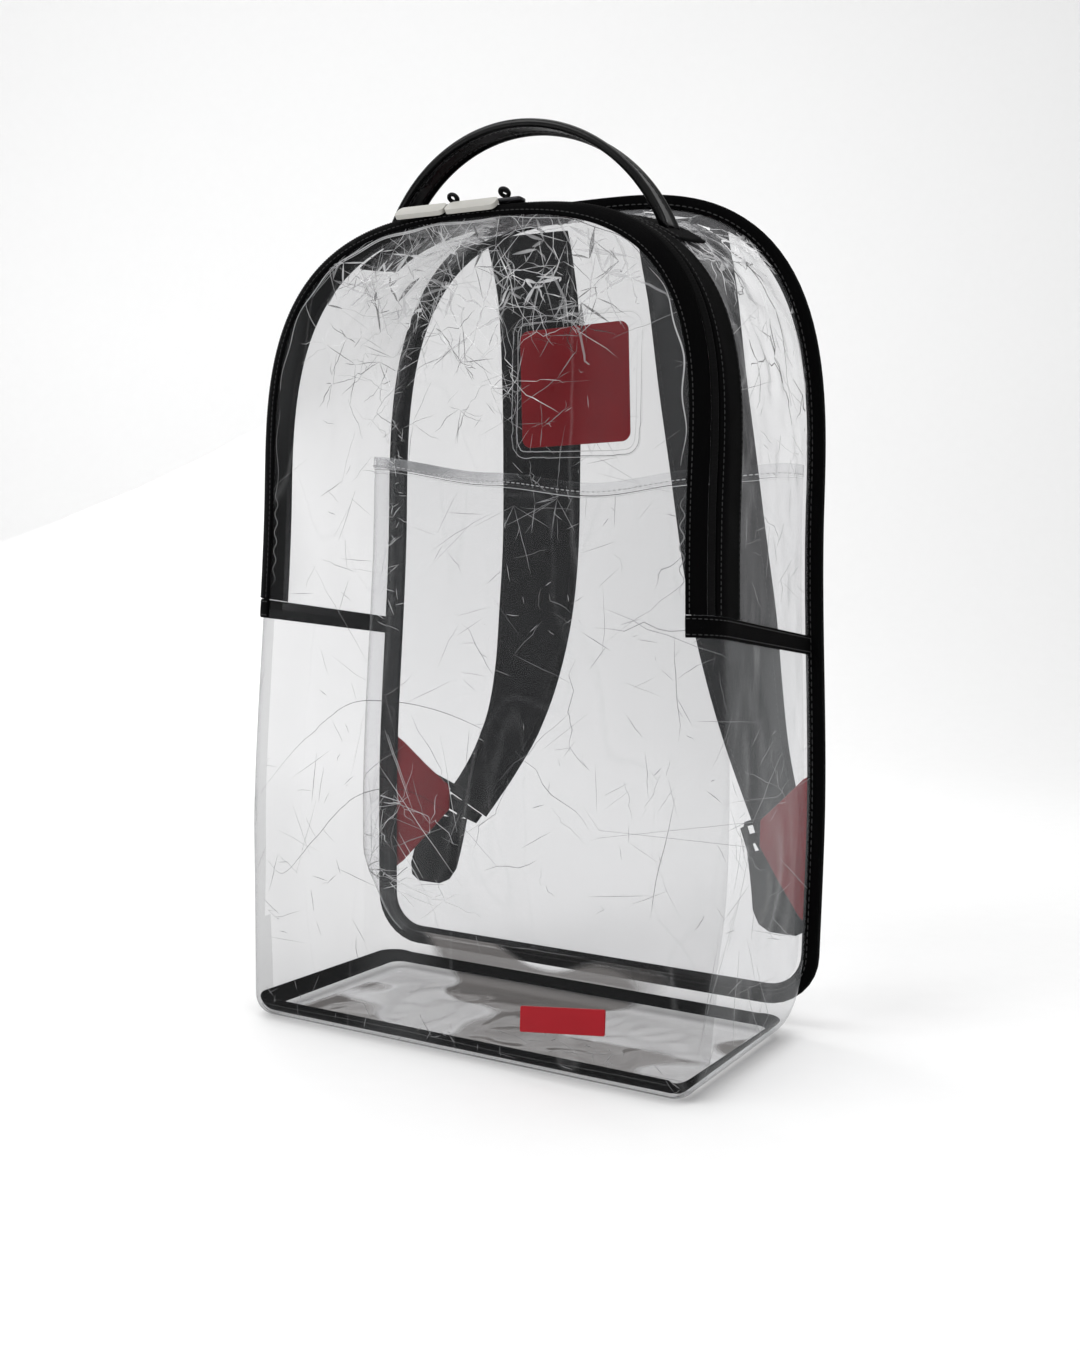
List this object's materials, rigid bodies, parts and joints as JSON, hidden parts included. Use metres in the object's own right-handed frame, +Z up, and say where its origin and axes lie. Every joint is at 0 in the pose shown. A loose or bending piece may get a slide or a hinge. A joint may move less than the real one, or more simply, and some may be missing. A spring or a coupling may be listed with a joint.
{
  "type": "clear stadium backpack",
  "caption": "See-through backpack with a clear body, black binding and zip, an arched carry handle, padded shoulder straps and red patches.",
  "frame": {"origin": "on the floor under the middle of the bag, on the flat of the base", "axes": "+Z up, -Y out of the front of the bag, +Y towards the wearer's back and the shoulder straps, +X to the right seen from the front"},
  "size_m": [0.3138, 0.2259, 0.517],
  "materials": {
    "clear_vinyl": "clear glossy sheet with fine scratches",
    "black_tape": "woven black binding tape",
    "black_pad": "black padded mesh fabric",
    "handle_leather": "smooth black leather look",
    "red_vinyl": "red soft vinyl",
    "black_plastic": "moulded black plastic",
    "zip_metal": "black painted metal",
    "pale_plastic": "pale moulded plastic"
  },
  "bodies": {
    "root": {"front_sheet": "clear_vinyl", "upper_gusset": "clear_vinyl", "base_panel": "clear_vinyl", "back_panel": "clear_vinyl", "inner_sleeve": "clear_vinyl", "sleeve_hem": "clear_vinyl", "zip_tape_front": "black_tape", "zip_tape_rear": "black_tape", "back_rim": "black_tape", "base_binding": "black_tape", "handle_carrier": "black_tape", "side_strip_left": "black_tape", "side_strip_right": "black_tape", "webbing_left": "black_tape", "webbing_right": "black_tape", "webbing_tail_left": "black_tape", "webbing_tail_right": "black_tape", "shoulder_strap_left": "black_pad", "shoulder_strap_right": "black_pad", "handle": "handle_leather", "inner_patch": "red_vinyl", "front_label": "red_vinyl", "corner_tab_left": "red_vinyl", "corner_tab_right": "red_vinyl", "zip_coil": "black_plastic", "adjuster_left": "black_plastic", "adjuster_right": "black_plastic", "zip_slider_first": "zip_metal", "zip_slider_second": "zip_metal", "pull_loop_first": "zip_metal", "pull_loop_second": "zip_metal", "pull_tab_first": "pale_plastic", "pull_tab_second": "pale_plastic"}
  },
  "joints": []
}
